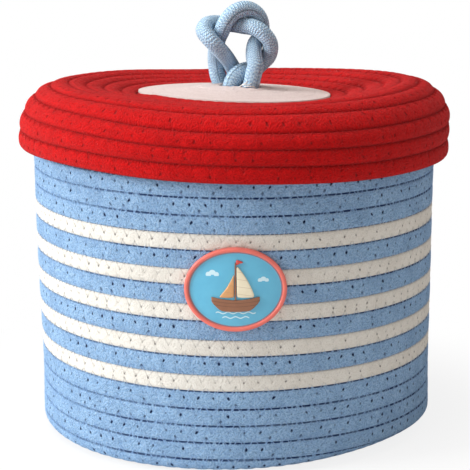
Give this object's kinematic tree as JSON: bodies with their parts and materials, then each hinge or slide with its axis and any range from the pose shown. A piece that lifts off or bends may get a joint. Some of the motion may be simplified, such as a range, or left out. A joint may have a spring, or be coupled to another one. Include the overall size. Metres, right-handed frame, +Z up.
{
  "type": "lidded rope storage basket",
  "caption": "Round storage basket of coiled and sewn cotton rope, with a lift-off lid, a braided rope handle and an oval badge on the front.",
  "frame": {"origin": "centre of the flat underside of the base, on the surface that the basket stands on", "axes": "+Z up along the axis of the basket, -Y towards the front with the badge, +X to the right as seen from the front"},
  "size_m": [0.2642, 0.2642, 0.2598],
  "materials": {
    "blue_rope": "matt knitted cotton rope, light blue",
    "white_rope": "matt knitted cotton rope, off-white",
    "red_rope": "matt knitted cotton rope, warm red",
    "handle_rope": "braided cotton rope, grey blue",
    "thread": "white sewing thread",
    "badge_rim": "soft moulded plastic, salmon",
    "badge_face": "soft moulded plastic, sky blue",
    "badge_hull": "soft moulded plastic, brown",
    "badge_main_sail": "soft moulded plastic, cream",
    "badge_fore_sail": "soft moulded plastic, tan"
  },
  "bodies": {
    "basket": {"base_coil": "blue_rope", "lower_wall_coil": "blue_rope", "white_stripe_1": "white_rope", "blue_stripe_1": "blue_rope", "white_stripe_2": "white_rope", "blue_stripe_2": "blue_rope", "white_stripe_3": "white_rope", "blue_stripe_3": "blue_rope", "white_stripe_4": "white_rope", "blue_stripe_4": "blue_rope", "white_stripe_5": "white_rope", "upper_wall_coil": "blue_rope", "badge_rim": "badge_rim", "badge_face": "badge_face", "badge_hull": "badge_hull", "badge_main_sail": "badge_main_sail", "badge_fore_sail": "badge_fore_sail"},
    "lid": {"lid_white_centre": "white_rope", "lid_red_coil": "red_rope", "handle_rope": "handle_rope", "handle_tack_left": "thread", "handle_tack_front": "thread"}
  },
  "joints": [
    {"name": "lid_lift", "type": "slide", "parent": "basket", "child": "lid", "axis": [0, 0, 1], "range_m": [0, 0.15]}
  ]
}
